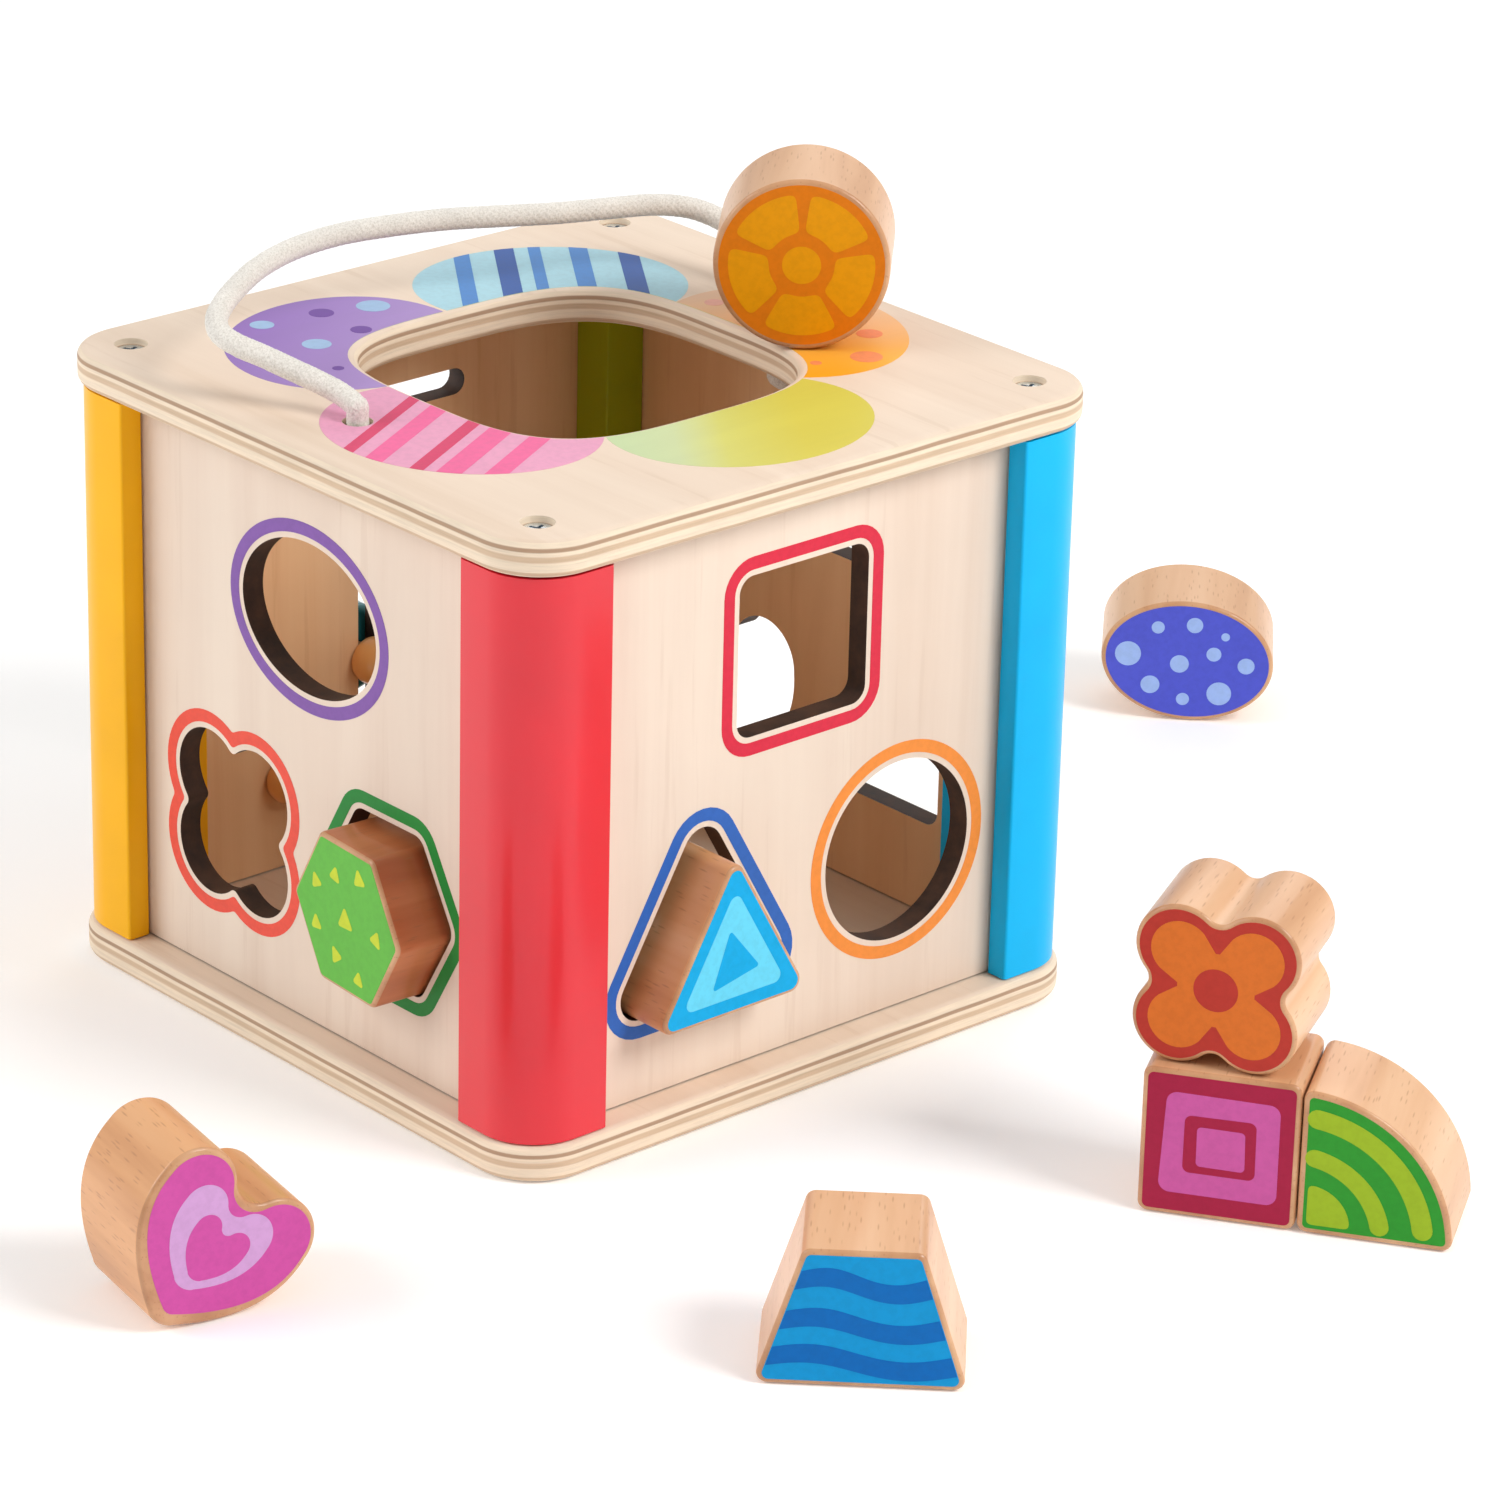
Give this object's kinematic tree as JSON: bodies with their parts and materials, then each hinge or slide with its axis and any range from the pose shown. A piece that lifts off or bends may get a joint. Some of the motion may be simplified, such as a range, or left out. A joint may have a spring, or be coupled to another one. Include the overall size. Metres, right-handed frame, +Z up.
{
  "type": "shape sorter",
  "caption": "Wooden post-and-panel cube with shape holes, an open top, a rope handle, a slider track and loose shape blocks to post through the holes.",
  "frame": {"origin": "centre of the base board's underside", "axes": "+Z up out of the open top; -Y is the panel with the ellipse, flower and hexagon holes, +X the one with the square, triangle and circle holes"},
  "size_m": [0.2809, 0.3911, 0.1684],
  "materials": {
    "birch": "clear matt varnish",
    "beech": "bare, sanded",
    "yellow": "coloured gloss paint",
    "red": "coloured gloss paint",
    "blue": "coloured gloss paint",
    "green": "coloured gloss paint",
    "teal": "coloured gloss paint",
    "orange": "coloured gloss paint",
    "zinc": "bluish zinc plating",
    "cotton": "braided cotton"
  },
  "bodies": {
    "cube": {"base_board": "birch", "top_board": "birch", "post_yellow": "yellow", "post_red": "red", "post_blue": "blue", "post_green": "green", "panel_front": "birch", "panel_right": "birch", "panel_back": "birch", "panel_left": "birch", "top_screw_front_left": "zinc", "base_screw_front_left": "zinc", "top_screw_front_right": "zinc", "base_screw_front_right": "zinc", "top_screw_back_right": "zinc", "base_screw_back_right": "zinc", "top_screw_back_left": "zinc", "base_screw_back_left": "zinc", "rope_knot_front": "cotton", "rope_knot_back": "cotton"},
    "handle": {"rope_handle": "cotton"},
    "teal_slider": {"teal_knob": "teal", "teal_pin": "beech", "teal_cap": "orange"},
    "red_slider": {"red_knob": "red", "red_pin": "beech", "red_cap": "orange"},
    "circle": {"block_circle": "beech"},
    "ellipse": {"block_ellipse": "beech"},
    "flower": {"block_flower": "beech"},
    "hexagon": {"block_hexagon": "beech"},
    "square": {"block_square": "beech"},
    "triangle": {"block_triangle": "beech"},
    "quarter": {"block_quarter": "beech"},
    "trapezoid": {"block_trapezoid": "beech"},
    "heart": {"block_heart": "beech"}
  },
  "joints": [
    {"name": "handle_swing", "type": "hinge", "parent": "cube", "child": "handle", "pos_m": [0, 0, 0.1354], "axis": [0, 1, 0], "range_deg": [0, 60]},
    {"name": "teal_slide", "type": "slide", "parent": "cube", "child": "teal_slider", "axis": [0, 0, 1], "range_m": [-0.0213, 0.0568]},
    {"name": "red_slide", "type": "slide", "parent": "cube", "child": "red_slider", "axis": [0, 1, 0], "range_m": [0, 0.0454]},
    {"name": "hexagon_slide", "type": "slide", "parent": "cube", "child": "hexagon", "axis": [-0.0698, -0.9976, 0], "range_m": [-0.01, 0.04]},
    {"name": "triangle_slide", "type": "slide", "parent": "cube", "child": "triangle", "axis": [1, 0, 0], "range_m": [-0.01, 0.04]},
    {"name": "circle_lift", "type": "slide", "parent": "cube", "child": "circle", "axis": [0, 0, 1], "range_m": [0, 0.08]},
    {"name": "square_lift", "type": "slide", "parent": "cube", "child": "square", "axis": [0, 0, 1], "range_m": [0, 0.06]},
    {"name": "flower_lift", "type": "slide", "parent": "square", "child": "flower", "axis": [0, 0, 1], "range_m": [0, 0.06]},
    {"name": "quarter_slide", "type": "slide", "parent": "cube", "child": "quarter", "axis": [0.8339, 0.5519, 0], "range_m": [0, 0.06]},
    {"name": "trapezoid_lift", "type": "slide", "parent": "cube", "child": "trapezoid", "axis": [0, 0, 1], "range_m": [0, 0.06]},
    {"name": "heart_lift", "type": "slide", "parent": "cube", "child": "heart", "axis": [0, 0, 1], "range_m": [0, 0.06]},
    {"name": "ellipse_lift", "type": "slide", "parent": "cube", "child": "ellipse", "axis": [0, 0, 1], "range_m": [0, 0.06]}
  ]
}
